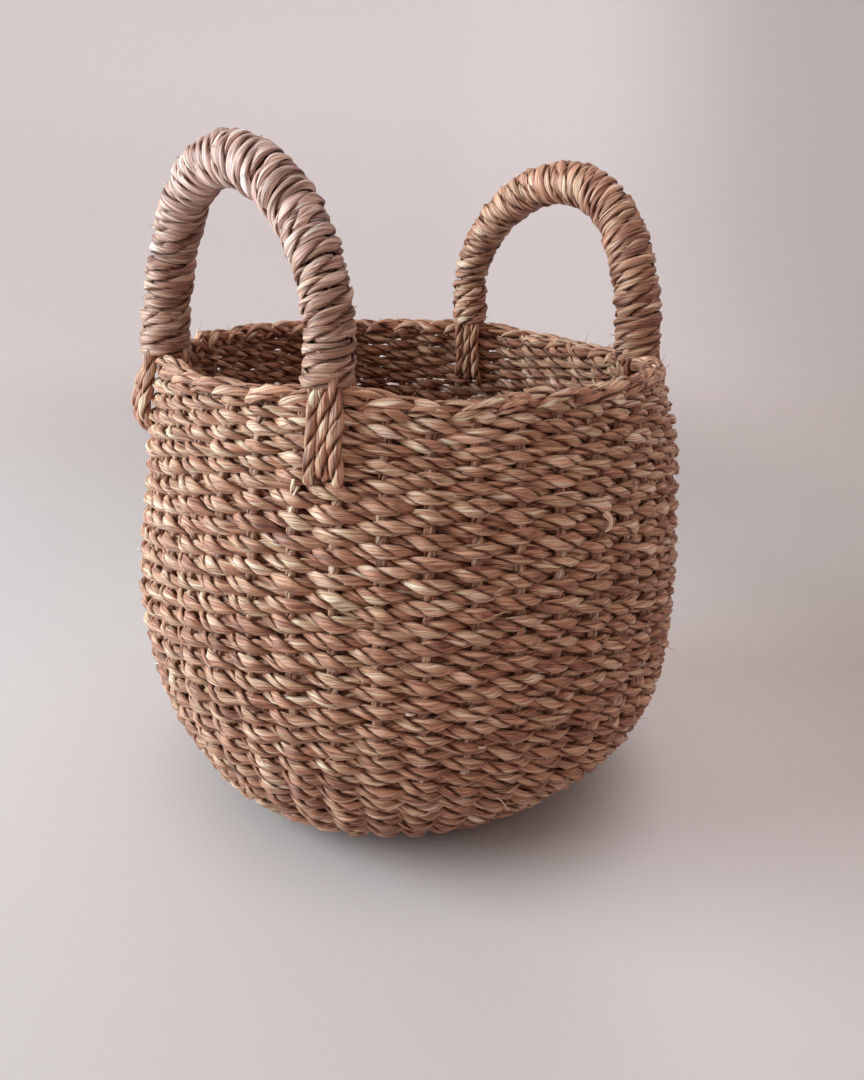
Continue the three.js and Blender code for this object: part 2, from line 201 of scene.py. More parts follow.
# angle and span are degrees round the rim. lean shifts the arch's top along it, and sway its middle. splay
# is how far its first foot stands out, and fan how far that foot's legs part from the wall. shifts move the
# legs along the rim. girths are the winding's radii at GIRTH_STOPS, and look is its material.
GIRTH_STOPS = (0.0, 0.2, 0.35, 0.5, 0.65, 0.8, 1.0)  # shares of the arch's length
HANDLES = (
    {
        "name": "handle_left", "angle": -87.3, "span": 58.5, "rise": 90.0, "lean": -2.5,
        "girths": (11.9, 11.5, 10.7, 12.2, 12.0, 11.0, 10.8),
        "sway": 4.5, "splay": 2.2, "fan": 3.2, "shifts": (1.2, 3.2), "seed": 11,
        # This handle's wrap is a greyer, lighter copy: painted cool window light
        "look": "seagrass_wrap_painted_light",
    },
    {
        "name": "handle_right", "angle": 89.5, "span": 65.5, "rise": 88.5, "lean": -5.0,
        "girths": (13.0, 12.8, 12.0, 12.0, 11.6, 10.8, 10.8),
        "sway": 5.0, "splay": 0.0, "fan": 0.0, "shifts": (0.0, 0.0), "seed": 12,
        "look": "seagrass_wrap",
    },
)

# Camera, as worked out from the photograph of 864 x 1080 pixels
FOCAL_PIXELS = 950.0
PICTURE_HEIGHT = 1080.0
CAMERA_PLACE = (387.0, -341.3, 320.5)
CAMERA_TURN = math.radians(48.6)
CAMERA_PITCH = math.radians(19.5)
CAMERA_YAW = math.radians(1.4)
CAMERA_ROLL = math.radians(1.9)
SENSOR_WIDTH = 36.0

# Light from a window, in metres, and from the room
WINDOW_AZIMUTH = math.radians(-80.0)  # from the camera, counterclockwise as seen from above
WINDOW_ELEVATION = math.radians(19.0)
WINDOW_DISTANCE = 1.5
WINDOW_AIM = 0.15  # height that it faces
WINDOW_SIZE = 1.2
WINDOW_POWER = 34.5
WINDOW_COLOUR = (0.80, 1.01, 1.08)
ROOM_COLOUR = (1.0, 0.90, 0.855, 1.0)
ROOM_STRENGTH = 0.68
PAINTED_SHADE_REACH = 1.12  # painted shade: nearer to the window the cloth looks darker to the camera, or it would clip to white
PAINTED_SHADE_FALL = 2.2

# Floor and backdrop, in metres, and their faint glow of painted light, seen only by the camera: from where
# to where, and from what to what
STAGE_FLAT = 1.3
STAGE_BEND = 0.9
STAGE_WALL = 0.3
STAGE_SIDES = 96
CLOTH_COLOUR = (0.555, 0.49, 0.477, 1.0)
PAINTED_GLOW_COLOUR = (1.0, 0.91, 0.93, 1.0)
FAR_GLOW = (0.60, 1.6, 0.0, 0.205)
HIGH_GLOW = (0.2, 0.65, 0.0, 0.06)
RIGHT_FADE = (0.35, 0.95, 1.0, 0.15)
NEAR_GLOW = (0.10, 0.17, 0.0, 1.0)
NEAR_FADE = (0.12, 0.5, 1.0, 0.15)
RIGHT_GLOW = (0.03, 0.16, 0.09, 0.215)

# Leaf pattern: cells per mm along and across a strand, and how much each changes a spot's colour and relief
STRIPS = (0.035, 0.72)
FIBRES = (0.07, 2.6)
STREAKS = (0.05, 1.1)
BLOTCHES = (0.10, 0.30)
STRIP_SHARE = 0.42
TONE_SHARE = 0.20
FIBRE_SHARE = 0.62
STREAK_SHARE = 0.78
BLOTCH_SHARE = 0.65
CREASE_SHARE = 0.75
PAINTED_GROOVE_SHARE = 0.88
STRIP_HUE = 0.6
STRAND_HUE = 0.2
FIBRE_RELIEF = 0.7
STREAK_RELIEF = 1.1
CREASE_RELIEF = 0.8
RELIEF_DEPTH = 0.6 * MM

# Leaf colours from dark to light, creases between strips, tints of strips and the painted shade deep in a
# groove
LEAF_STOPS = (
    (0.00, (0.150, 0.038, 0.016)),
    (0.25, (0.330, 0.120, 0.060)),
    (0.50, (0.540, 0.258, 0.148)),
    (0.75, (0.730, 0.450, 0.290)),
    (1.00, (0.920, 0.760, 0.590)),
)
CREASE_STOPS = ((0.0, (0.36, 0.22, 0.17)), (0.06, (0.82, 0.75, 0.72)), (0.15, (1.0, 1.0, 1.0)))
TINT_STOPS = (
    (0.0, (0.90, 1.0, 0.84)),
    (0.3, (1.0, 1.0, 0.97)),
    (0.6, (1.04, 0.96, 0.94)),
    (0.85, (1.10, 0.90, 0.86)),
    (1.0, (0.93, 0.95, 1.06)),
)
PAINTED_GROOVE_COLOUR = (0.22, 0.10, 0.06, 1.0)
GREY = (1.08, 0.94, 0.99)  # with a touch of pink; the wraps' painted window light turns their leaves towards it
PAINTED_HANDLE_LIGHT_HEIGHTS = ((BODY_HEIGHT + 30.0) * MM, (BODY_HEIGHT + 92.0) * MM)  # heights between which the handles' painted light from above sets in

# Lightness and grey of the leaves, and of those high on a handle, which are lighter as painted light from
# above
LOOKS = {
    "seagrass_weft": {"leaves": (1.0, 0.0)},
    # The stakes are darker than the ropes: painted shade for the gaps between courses where they show
    "seagrass_stake": {"leaves": (0.78, 0.0)},
    "seagrass_base": {"leaves": (0.95, 0.0)},
    "seagrass_border": {"leaves": (1.04, 0.0)},
    "seagrass_cord": {"leaves": (0.98, 0.0)},
    "seagrass_wrap": {"leaves": (0.94, 0.04), "painted_top_light": (1.36, 0.15), "roughness": 0.52},
    # The near handle's wrap: a greyer, lighter copy of the wrap, painted cool window light
    "seagrass_wrap_painted_light": {"leaves": (0.96, 0.20), "painted_top_light": (1.62, 0.55), "roughness": 0.52},
}

UP = np.array([0.0, 0.0, 1.0])


# Small helpers for shapes

def smooth(low, high, x):
    """From 0 at low to 1 at high, with a soft start and end."""
    t = np.clip((x - low) / (high - low), 0.0, 1.0)
    return t * t * (3.0 - 2.0 * t)


def unit(vectors):
    return vectors / np.linalg.norm(vectors, axis=-1, keepdims=True)


def wander(rng, x, amount, period, closed_length=None):
    """Smooth random values up to amount along x, new over each period, that may close on themselves."""
    if closed_length:
        count = max(round(closed_length / period), 3)
        at = (x / closed_length * count) % count
    else:
        at = (x - x.min()) / period
        count = math.ceil(at.max()) + 2
    knots = rng.uniform(-1.0, 1.0, count)
    first = np.floor(at).astype(int)
    t = smooth(0.0, 1.0, at - first)
    return amount * (knots[first % count] * (1.0 - t) + knots[(first + 1) % count] * t)


def distances(points):
    """Length along a row of points, from its start."""
    steps = np.linalg.norm(np.diff(points, axis=0), axis=1)
    return np.concatenate([[0.0], np.cumsum(steps)])


def around(count):
    """Even angles round a circle."""
    return np.linspace(0.0, math.tau, count, endpoint=False)


def read_off(at, run, rows):
    """What rows say at places along run."""
    return np.stack([np.interp(at, run, column) for column in rows.T], -1)


def along_path(points, step):
    """The same path with its points at even steps, rounded a little where it bends."""
    run = distances(points)
    count = max(round(run[-1] / step), 4)
    even = read_off(np.linspace(0.0, run[-1], count + 1), run, points)
    for _ in range(6):
        even[1:-1] = 0.25 * even[:-2] + 0.5 * even[1:-1] + 0.25 * even[2:]
    return even


def across_path(path, facing):
    """The ways across a rope along path: out is as near to facing as can be, and rise is square to both."""
    tangent = unit(np.gradient(path, axis=0))
    out = unit(facing - tangent * (facing * tangent).sum(1, keepdims=True))
    return unit(np.cross(out, tangent)), out


# The wall's middle surface

def wall_table():
    """Radius, height and distance of fine points from the centre of the base to the rim."""
    base = CREST + FLOOR_GAP
    belly = BELLY_RADIUS - CREST
    rim = RIM_RADIUS - CREST
    across = np.linspace(0.0, FOOT_RADIUS, 60, endpoint=False)
    flat = np.column_stack([across, np.full_like(across, base)])
    turn = np.linspace(-math.pi / 2, 0.0, 300, endpoint=False)
    reach = FOOT_RADIUS + (belly - FOOT_RADIUS) * np.cos(turn)
    haunch = np.column_stack([reach, BELLY_HEIGHT + (BELLY_HEIGHT - base) * np.sin(turn)])
    t = np.linspace(0.0, 1.0, 200)[:, None]
    corner = np.array([belly, (BELLY_HEIGHT + BODY_HEIGHT) / 2])
    shoulder = (1 - t) ** 2 * [belly, BELLY_HEIGHT] + 2 * t * (1 - t) * corner + t**2 * [rim, BODY_HEIGHT]
    points = np.concatenate([flat, haunch, shoulder])
    run = distances(points)
    slope = unit(np.gradient(points, run, axis=0))
    return points, run, slope


WALL_POINTS, WALL_RUN, WALL_SLOPE = wall_table()
WALL_LENGTH = WALL_RUN[-1]


def wall_frame(distance, angle):
    """The middle surface's point, way up and way out at distances along the wall and angles."""
    distance, angle = np.broadcast_arrays(np.asarray(distance, float), np.asarray(angle, float))
    columns = (*WALL_POINTS.T, *WALL_SLOPE.T)
    radius, height, slope_r, slope_z = (np.interp(distance, WALL_RUN, column) for column in columns)
    beyond = np.maximum(distance - WALL_LENGTH, 0.0)
    radius = radius + beyond * slope_r
    height = height + beyond * slope_z
    cos, sin = np.cos(angle), np.sin(angle)
    rise = np.stack([slope_r * cos, slope_r * sin, slope_z], -1)
    out = np.stack([slope_z * cos, slope_z * sin, -slope_r], -1)
    point = np.stack([radius * cos, radius * sin, height], -1) + out * dents(height, angle)[..., None]
    point[..., 2] -= rim_sag(angle) * smooth(SAG_START, BODY_HEIGHT, height)
    return point, rise, out


def rim_sag(angle):
    angles, sags = zip(*RIM_SAGS)
    return np.interp(np.degrees(angle), angles, sags, period=360.0)


def dents(height, angle):
    total = np.zeros_like(height)
    for level, degrees, reach_up, reach_round, amount in DENTS:
        off = np.degrees(angle) - degrees
        off = (off + 180.0) % 360.0 - 180.0
        total += amount * np.exp(-(((height - level) / reach_up) ** 2) - (off / reach_round) ** 2)
    return total * smooth(*DENTS_START, height)


def on_wall(distance, depth, angle):
    point, _, out = wall_frame(distance, angle)
    return point + out * np.asarray(depth, float)[..., None]


def wall_radius(distance):
    return float(np.interp(distance, WALL_RUN, WALL_POINTS[:, 0]))


# Strands

ROW_CELLS = 12  # short strands that share a row of the texture map
ROW_MARGIN = 0.06  # free at both sides of a row
MAP_MARGIN = 0.002
MAP_SLACK = 1.15  # the map's area, of the strands'


class Strands:
    """Gathers the tubes of one piece, with what its material reads, and makes one mesh of them."""

    def __init__(self):
        self.tubes = []

    def add(self, sections, groove_shade, seed, tone, hue, closed=False):
        """sections holds rings of points, whose rows run along the fibres. The value after sections is
        painted shade at each point, deepest in the groove between plies.
        """
        rings, sides = sections.shape[:2]

        def spread(*parts):
            return np.stack([np.broadcast_to(part, (rings, sides)) for part in parts], -1)

        path = sections.mean(1)
        path = np.concatenate([path, path[:1]]) if closed else path
        run = distances(path)
        # Along a closed strand the pattern comes back the way it went, so that it meets itself.
        along = np.minimum(run[:rings], run[-1] - run[:rings]) if closed else run[:rings]
        girth = np.linalg.norm(np.roll(sections, -1, 1) - sections, axis=2).sum(1).mean()
        turn = around(sides)
        radius = girth / math.tau
        place = spread(along[:, None] + seed * SEED_SPREAD, radius * np.cos(turn), radius * np.sin(turn))
        self.tubes.append((sections, place, spread(tone, groove_shade, hue), closed, run[-1], girth))

    def mesh(self, name):
        points, places, looks, corners, sizes, maps = [], [], [], [], [], []
        width = math.sqrt(sum(length * girth for *_, length, girth in self.tubes) * MAP_SLACK)
        short = width / ROW_CELLS
        rows = sum(math.ceil(length / width) for *_, length, _ in self.tubes if length >= short)
        rows += math.ceil(sum(length < short for *_, length, _ in self.tubes) / ROW_CELLS)
        offset, row, cell = 0, 0, 0
        for sections, place, look, closed, length, girth in self.tubes:
            rings, sides = sections.shape[:2]
            points.append(sections.reshape(-1, 3))
            places.append(place.reshape(-1, 3))
            looks.append(look.reshape(-1, 3))
            spans = rings if closed else rings - 1
            i, j = np.meshgrid(np.arange(spans), np.arange(sides), indexing="ij")
            here, after = i * sides, (i + 1) % rings * sides
            beside = (j + 1) % sides
            quads = np.stack([here + j, here + beside, after + beside, after + j], -1)
            corners.append((quads + offset).ravel())
            sizes.append(np.full(spans * sides, 4))
            if length >= short:
                parts = math.ceil(length / width)
                per_row = math.ceil(spans / parts)
                line = row + i // per_row
                left = (i % per_row) / per_row
                right = left + 1.0 / per_row
                row += parts
            else:
                line = np.full(i.shape, rows - 1 - cell // ROW_CELLS)
                left = (cell % ROW_CELLS + i / spans) / ROW_CELLS
                right = left + 1.0 / spans / ROW_CELLS
                cell += 1
            high, low = (
                (line + ROW_MARGIN + (1 - 2 * ROW_MARGIN) * step / sides) / rows for step in (j + 1, j)
            )
            flat = np.stack([left, low, left, high, right, high, right, low], -1).reshape(-1, 2)
            maps.append(MAP_MARGIN + (1 - 2 * MAP_MARGIN) * flat)
            if not closed:
                ring = np.arange(sides)
                for ends, at in ((ring[::-1], 0), (ring, rings - 1)):
                    corners.append(ends + at * sides + offset)
                    sizes.append(np.array([sides]))
                    maps.append(np.full((sides, 2), [0.5, (line.min() + 0.5) / rows]))
            offset += rings * sides
        return new_mesh(name, points, {"strand": places, "looks": looks}, corners, sizes, maps)


def new_mesh(name, points, attributes, corners, sizes, maps):
    points = np.concatenate(points) * MM
    corners = np.concatenate(corners)
    sizes = np.concatenate(sizes)
    mesh = bpy.data.meshes.new(name)
    mesh.vertices.add(len(points))
    mesh.vertices.foreach_set("co", points.astype(np.float32).ravel())
    mesh.loops.add(len(corners))
    mesh.loops.foreach_set("vertex_index", corners.astype(np.int32))
    mesh.polygons.add(len(sizes))
    starts = np.concatenate([[0], np.cumsum(sizes)[:-1]])
    mesh.polygons.foreach_set("loop_start", starts.astype(np.int32))
    mesh.polygons.foreach_set("use_smooth", np.ones(len(sizes), bool))
    layer = mesh.uv_layers.new(name="OFBake")
    layer.uv.foreach_set("vector", np.concatenate(maps).astype(np.float32).ravel())
    for key, values in attributes.items():
        attribute = mesh.attributes.new(key, "FLOAT_VECTOR", "POINT")
        attribute.data.foreach_set("vector", np.concatenate(values).astype(np.float32).ravel())
    mesh.update(calc_edges=True)
    mesh.validate()
    return mesh


def rings(centre, rise, out, half_rise, half_out, offset, flatness, phase, roll, folds, sides):
    """Rings of one ply, and how deep each point lies in the groove between the plies, which sets its
    painted shade.

    The ply lies off the rope's middle, towards phase, and is wide across that way. roll turns its leaves
    back, and the rows of points with them. folds are the depth and two turns of the leaves' own ridges.
    """
    place = around(sides)[None, :]
    turn = place - roll[:, None]
    fold, coarse, fine = folds
    size = 1.0 + fold * (np.cos(3 * place + coarse[:, None]) + 0.5 * np.cos(5 * place + fine[:, None]))
    near = offset + (1.0 - offset) * size * np.cos(turn)
    wide = flatness * size * np.sin(turn)
    cos, sin = np.cos(phase)[:, None], np.sin(phase)[:, None]
    x = near * cos - wide * sin
    y = near * sin + wide * cos
    # Painted shade: darkest at the rope's middle, between its plies
    groove_shade = 1.0 - smooth(*PAINTED_GROOVE_SHADE, np.hypot(x, y))
    x, y = (x * half_rise[:, None])[..., None], (y * half_out[:, None])[..., None]
    return centre[:, None] + x * rise[:, None] + y * out[:, None], groove_shade


def twist(
    strands, rng, centre, rise, out, half_rise, half_out, turns, run, sides, closed=False, pale=0.0,
    taper=0.0, waver=0.8, fold=0.11, plies=2, uneven_size=0.16,
):
    """Adds the plies of a rope with that many turns. run is the length along it."""
    length = run[-1] if not closed else run[-1] + (run[1] - run[0])
    loop = length if closed else None
    ends = np.ones(len(run))
    if taper:
        ends = TIP + (1.0 - TIP) * smooth(0.0, taper, np.minimum(run, length - run))
    offset, flatness = PLY_SHAPES[plies]
    leaf_turns = round(LEAF_TWIST * turns) if closed else LEAF_TWIST * turns

    def vary(amount, period):
        return wander(rng, run, amount, period, loop)

    uneven = vary(waver, PACE_PERIOD)
    start = rng.uniform(0, 6.28)
    for ply in range(plies):
        phase = math.tau * (turns * run / length + ply / plies) + uneven + start + vary(*PLY_TURN)
        roll = math.tau * leaf_turns * run / length + LEAF_TWIST * uneven + vary(*PLY_ROLL)
        folds = (fold, *(vary(*turn) for turn in FOLD_TURNS))
        thick = ends * (1.0 + vary(uneven_size, THICK_PERIOD))
        halves = half_rise * thick, half_out * thick
        shape, groove_shade = rings(centre, rise, out, *halves, offset, flatness, phase, roll, folds, sides)
        tone = sum(vary(*part) for part in TONES) + PLY_TONE * rng.uniform(-1, 1) + pale
        hue = vary(*HUES) + PLY_HUE * rng.uniform(-1, 1)
        strands.add(shape, groove_shade, rng.uniform(0, 50), tone[:, None], hue[:, None], closed)


def loose_end(strands, rng, path, out, width, thick, pale):
    """A fibre or a leaf's end along path, flat against out and pointed at its tip."""
    tangent = unit(np.gradient(path, axis=0))
    across = unit(np.cross(tangent, out))
    above = np.cross(across, tangent)
    turn = around(6)[None, :, None]
    t = np.linspace(0.0, 1.0, len(path))[:, None, None]
    taper = np.sqrt(np.clip(1.02 - t**2, 0.01, 1.0))
    sides = width * np.cos(turn) * across[:, None] + thick * np.sin(turn) * above[:, None]
    sections = path[:, None] + taper * sides
    strands.add(sections, 0.0, rng.uniform(0, 50), pale, rng.uniform(-1, 0.5))


def fray(strands, rng, centre, out, lift, count, length=(3.0, 8.0)):
    """Loose fibres that start at random places just under the surface of a strand."""
    along = unit(np.gradient(centre, axis=0))
    t = np.linspace(0.0, 1.0, 8)[:, None]
    for _ in range(count):
        at = rng.integers(2, len(centre) - 2)
        way = along[at] * rng.choice([-1.0, 1.0])
        side = unit(np.cross(way, out[at]))
        curl, aside = rng.uniform(0.05, 0.6), rng.uniform(-0.7, 0.7)
        start = centre[at] + out[at] * lift * rng.uniform(0.7, 0.95)
        bend = way * (t - curl * t**2 / 2) + out[at] * (0.25 * t + curl * t**2) + side * aside * t**1.5
        path = start + rng.uniform(*length) * bend
        if path[:, 2].min() < FRAY_CLEARANCE:
            continue
        loose_end(strands, rng, path, out[at], rng.uniform(0.14, 0.3), 0.14, rng.uniform(-0.3, 2.0))


# Weave

def course_distances():
    """How far up the wall each course lies: evenly, a little closer under the rim."""
    nodes = sum(name.startswith("weft_course_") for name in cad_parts)
    count = nodes * COURSES_PER_NODE
    border = WALL_LENGTH - BORDER_HEIGHT
    pitches = np.full(count, (border - FOOT_RADIUS - CLOSE_COURSES * CLOSE_PITCH) / (count - CLOSE_COURSES))
    pitches[-CLOSE_COURSES:] = CLOSE_PITCH
    tops = FOOT_RADIUS + np.cumsum(pitches)
    return tops - pitches / 2, pitches


def drift(seed):
    """A field of small lasting shifts over the wall, alike for courses that lie near each other."""
    rng = np.random.default_rng(seed)
    waves = [
        (rng.integers(1, 9), rng.uniform(0.015, 0.09), rng.uniform(0, 6.28), rng.uniform(0.4, 1.0))
        for _ in range(12)
    ]
    total = sum(share for *_, share in waves)

    def field(distance, angle):
        return sum(a * np.cos(k * angle + m * distance + p) for k, m, p, a in waves) * DRIFT / total

    return field


shift_up = drift(3)
shift_out = drift(4)


def weave_course(strands, rng, distance, pitch, stakes, order, sides=10, step=1.7, swing=SWING, pale=0.0):
    """One round of rope that passes in front of one stake and behind the next."""
    radius = wall_radius(distance)
    girth = math.tau * radius
    begin = rng.uniform(0, math.tau)  # where it closes
    angle = begin + around(round(girth / step))
    run = (angle - begin) * radius
    bump = girth / stakes

    def uneven(share):
        return 1.0 + wander(rng, run, share, bump, girth)

    wave = np.cos(stakes / 2 * (angle - STAKE_PHASE) + math.pi * order)
    height = smooth(0.0, 1.0, np.abs(wave))
    neck = NECK_SHARE
    if order in THIN_COURSES:
        places = smooth(0.0, 0.8, wander(rng, run, 1.0, THIN_PERIOD, girth))
        neck = neck - THINNING * places * smooth(0.2, 0.7, np.cos(angle - THIN_ANGLE))
    depth = np.sign(wave) * np.abs(wave) ** SWING_POWER * swing * uneven(SWING_UNEVEN)
    depth += shift_out(distance, angle)
    up = shift_up(distance, angle) + pitch * (uneven(SHIFT_UNEVEN) - 1.0)
    half_rise = pitch * (neck + (BUMP_SHARE - neck) * height) * uneven(HEIGHT_UNEVEN)
    half_out = (NECK_DEPTH + (BUMP_DEPTH - NECK_DEPTH) * height) * uneven(DEPTH_UNEVEN)
    turns = max(round(girth / ROPE_LAY), 2)
    middle, rise, out = wall_frame(distance + up, angle)
    # Ropes of the base rest on the floor.
    down = np.maximum(-out[:, 2], 0.05)
    depth = np.minimum(depth, (middle[:, 2] - FLOOR_GAP) / down - ROPE_REACH * half_out)
    centre = middle + out * depth[:, None]
    # Painted shade where a course lies on the inside of the wall
    tone = pale + PAINTED_INSIDE_SHADE * smooth(0.0, 0.8, -wave)
    twist(
        strands, rng, centre, rise, out, half_rise, half_out, turns, run, sides, closed=True, pale=tone,
        waver=COURSE_WAVER,
    )
    fray(strands, rng, centre, out * np.sign(wave)[:, None], BUMP_DEPTH, WALL_FRAYS)


def loose_leaves(strands, rng, distance, pitch):
    """The ends of leaves that stick out of this course."""
    for height, degrees, length, width, heading, bend in LOOSE_LEAVES:
        above_foot = WALL_RUN > FOOT_RADIUS
        place = float(np.interp(height, WALL_POINTS[above_foot, 1], WALL_RUN[above_foot]))
        if abs(place - distance) > pitch / 2:
            continue
        point, rise, out = wall_frame(place, math.radians(degrees))
        along = unit(np.cross(rise, out))
        t = np.linspace(0.0, 1.0, 12)
        way = np.radians(heading + bend * t)[:, None]
        steps = along * np.cos(way) + rise * np.sin(way) + out * (0.9 - 1.3 * t)[:, None]
        path = point + out * (CREST - 0.9) + np.cumsum(steps, axis=0) * length / len(t)
        loose_end(strands, rng, path, out, width, 0.3, 2.5)


def make_wall():
    """One piece for each course of the solids, with the two real courses that it stands for."""
    middles, pitches = course_distances()
    pieces = []
    for first in range(0, len(middles), COURSES_PER_NODE):
        number = first // COURSES_PER_NODE + 1
        rng = np.random.default_rng(100 + number)
        strands = Strands()
        for course in range(first, first + COURSES_PER_NODE):
            middle, pitch = middles[course], pitches[course]
            # Painted light from above: the courses get lighter higher up the wall
            pale = PAINTED_WALL_LIGHT * smooth(*PAINTED_WALL_LIGHT_HEIGHTS, np.interp(middle, WALL_RUN, WALL_POINTS[:, 1]))
            weave_course(strands, rng, middle, pitch, STAKES, course, pale=pale)
            loose_leaves(strands, rng, middle, pitch)
        node = f"weft_course_{number:02d}"
        pieces.append((f"rope_course_{number:02d}", strands, "seagrass_weft", [node]))
    return pieces


def make_stakes():
    """Cords that run out under the base and up the wall, bent a little by each course that they pass."""
    strands = Strands()
    rng = np.random.default_rng(7)
    middles, _ = course_distances()
    for stake in range(STAKES):
        inner = STAKE_STARTS[stake % 2]
        run = np.arange(inner, WALL_LENGTH - 2.0, 2.0)
        course = np.interp(run, middles, np.arange(len(middles)))
        wave = STAKE_WAVE * smooth(FOOT_RADIUS, FOOT_RADIUS + 12.0, run)
        depth = STAKE_DEPTH - wave * np.cos(math.pi * (course + stake))
        radius = np.interp(run, WALL_RUN, WALL_POINTS[:, 0])
        spacing = math.tau / STAKES
        pair = smooth(*PAIRING, run) * (0.5 if stake % 2 else -0.5)
        angle = STAKE_PHASE + spacing * stake + rng.uniform(-0.004, 0.004)
        angles = angle + pair * (spacing - np.minimum(spacing * radius, PAIR_GAP) / radius)
        angles = angles + shift_out(run, angle) / radius
        centre, up, out = wall_frame(run, angles)
        centre = centre + out * depth[:, None]
        across = unit(np.cross(out, up))
        turns = (run[-1] - inner) / STAKE_LAY
        twist(strands, rng, centre, across, out, STAKE_RADIUS, STAKE_REACH, turns, run - inner, 8, plies=3)
    return [("stake_cords", strands, "seagrass_stake", ["stakes"])]


def make_base():
    """Rounds of rope over and under the base's stakes, and a spiral on each side of its middle."""
    strands = Strands()
    rng = np.random.default_rng(8)
    for order, distance in enumerate(np.arange(FOOT_RADIUS - BASE_PITCH / 2, BASE_END, -BASE_PITCH)):
        stakes = STAKES if distance > HALVED else STAKES // 2
        if distance < BOUND:
            stakes = BOUND_BUMPS
        swing = SWING * min(1.0, math.tau * distance / stakes / SWING_SPACING)
        weave_course(strands, rng, distance, BASE_PITCH, stakes, order, swing=swing, step=1.6, sides=8)
    turn = np.linspace(0.6, SPIRAL_TURNS * math.tau, 130)
    reach = 0.5 + SPIRAL_PITCH * turn / math.tau
    for side in (-1, 1):
        height = np.full_like(turn, WALL_POINTS[0, 1] + side * SPIRAL_LEVEL)
        centre = np.column_stack([reach * np.cos(side * turn), reach * np.sin(side * turn), height])
        rise, out = across_path(centre, UP * side)
        run = distances(centre)
        turns = run[-1] / SPIRAL_LAY
        twist(strands, rng, centre, rise, out, SPIRAL_HALF, SPIRAL_HALF * 1.1, turns, run, 8, taper=5.0)
    return [("base_ropes", strands, "seagrass_base", ["base_mat_lower", "base_mat_upper"])]


def make_border():
    """The stakes' ends, each folded over the rim to the right and tucked in at the next stake."""
    strands = Strands()
    rng = np.random.default_rng(9)
    route = np.array(BORDER_ROUTE)
    fine = np.linspace(0.0, len(route) - 1.0, 40)
    along, height, depth = read_off(fine, np.arange(len(route)), route).T
    for stake in range(STAKES):
        raised = smooth(-6.0, 0.0, height) * rng.uniform(*FOLD_LIFTS)
        angle = STAKE_PHASE + math.tau / STAKES * (stake + along + rng.uniform(*FOLD_LEANS))
        points = along_path(on_wall(WALL_LENGTH + height + raised, depth, angle), 1.6)
        rise, out = across_path(points, unit(unit(points * [1.0, 1.0, 0.0]) * 0.6 + UP * 0.8))
        run = distances(points)
        turns = run[-1] / FOLD_LAY
        half = rng.uniform(*FOLD_HALVES)
        deep = half * FOLD_FLATNESS
        twist(strands, rng, points, rise, out, half, deep, turns, run, 12, pale=FOLD_TONE, taper=6.0)
        fray(strands, rng, points, out, half, 2)
    for below, pitch, order, pale, swing in BORDER_COURSES:
        weave_course(strands, rng, WALL_LENGTH - below, pitch, STAKES, order, swing=swing, pale=pale)
    return [("rim_folds", strands, "seagrass_border", ["rim_border"])]


# Handles

class Arch:
    """A handle's centre line: an upright arch over the chord between its feet, sheared by its lean."""

    def __init__(self, handle):
        half_span = handle["span"] / 2
        self.angles = [math.radians(handle["angle"] + side * half_span) for side in (-1, 1)]
        feet = [on_wall(WALL_LENGTH, 0.0, angle) + UP * rim_sag(angle) for angle in self.angles]
        half = np.linalg.norm(feet[1] - feet[0]) / 2
        centre = (feet[0] + feet[1]) / 2
        along = unit(feet[1] - feet[0])
        self.out = np.cross(along, UP)
        self.radials = [np.array([math.cos(angle), math.sin(angle), 0.0]) for angle in self.angles]
        turn = np.linspace(math.pi, 0.0, 400)
        height = HANDLE_STRAIGHT + (handle["rise"] - HANDLE_STRAIGHT) * np.sin(turn)
        bend = np.column_stack([half * np.cos(turn), height])
        rise = np.linspace(0.0, HANDLE_STRAIGHT, 40, endpoint=False)
        leg = np.column_stack([np.full_like(rise, -half), rise])
        flat = np.concatenate([leg, bend, (leg * [-1.0, 1.0])[::-1]])
        self.run = distances(flat)
        self.length = self.run[-1]
        share = flat[:, 1] / handle["rise"]
        aside = handle["lean"] * share + handle["sway"] * np.sin(math.pi * share)
        self.points = centre + np.outer(flat[:, 0] + aside, along) + np.outer(flat[:, 1], UP)
        splay = handle["splay"] * (1.0 - smooth(0.0, 0.7, share)) * (flat[:, 0] < 0.0)
        self.points += np.outer(splay, self.radials[0])
        self.tangents = unit(np.gradient(self.points, self.run, axis=0))

    def frame(self, distance):
        """The points at distances from the first foot, and the ways outwards and along the wall there."""
        at = np.clip(distance, 0.0, self.length)
        point = read_off(at, self.run, self.points)
        tangent = unit(read_off(at, self.run, self.tangents))
        point = point + tangent * (distance - at)[..., None]
        share = self.gathered(distance)[..., None]
        foot = np.where((distance < self.length / 2)[..., None], self.radials[0], self.radials[1])
        outward = unit(foot * (1 - share) + self.out * share)
        outward = unit(outward - tangent * (outward * tangent).sum(-1, keepdims=True))
        return point, outward, np.cross(tangent, outward)

    def gathered(self, distance):
        """From 0 at the rim to 1 where the bundle is round."""
        height = np.minimum(distance, self.length - distance)
        return smooth(0.0, HANDLE_STRAIGHT, height)


BUNDLE = (
    ("outer_a", -60, -1, 1),
    ("outer_b", 0, 0, 1),
    ("outer_c", 60, 1, 1),
    ("inner_a", -120, -1, -1),
    ("inner_b", 180, 0, -1),
    ("inner_c", 120, 1, -1),
    ("middle", 0, 0, 0),
)


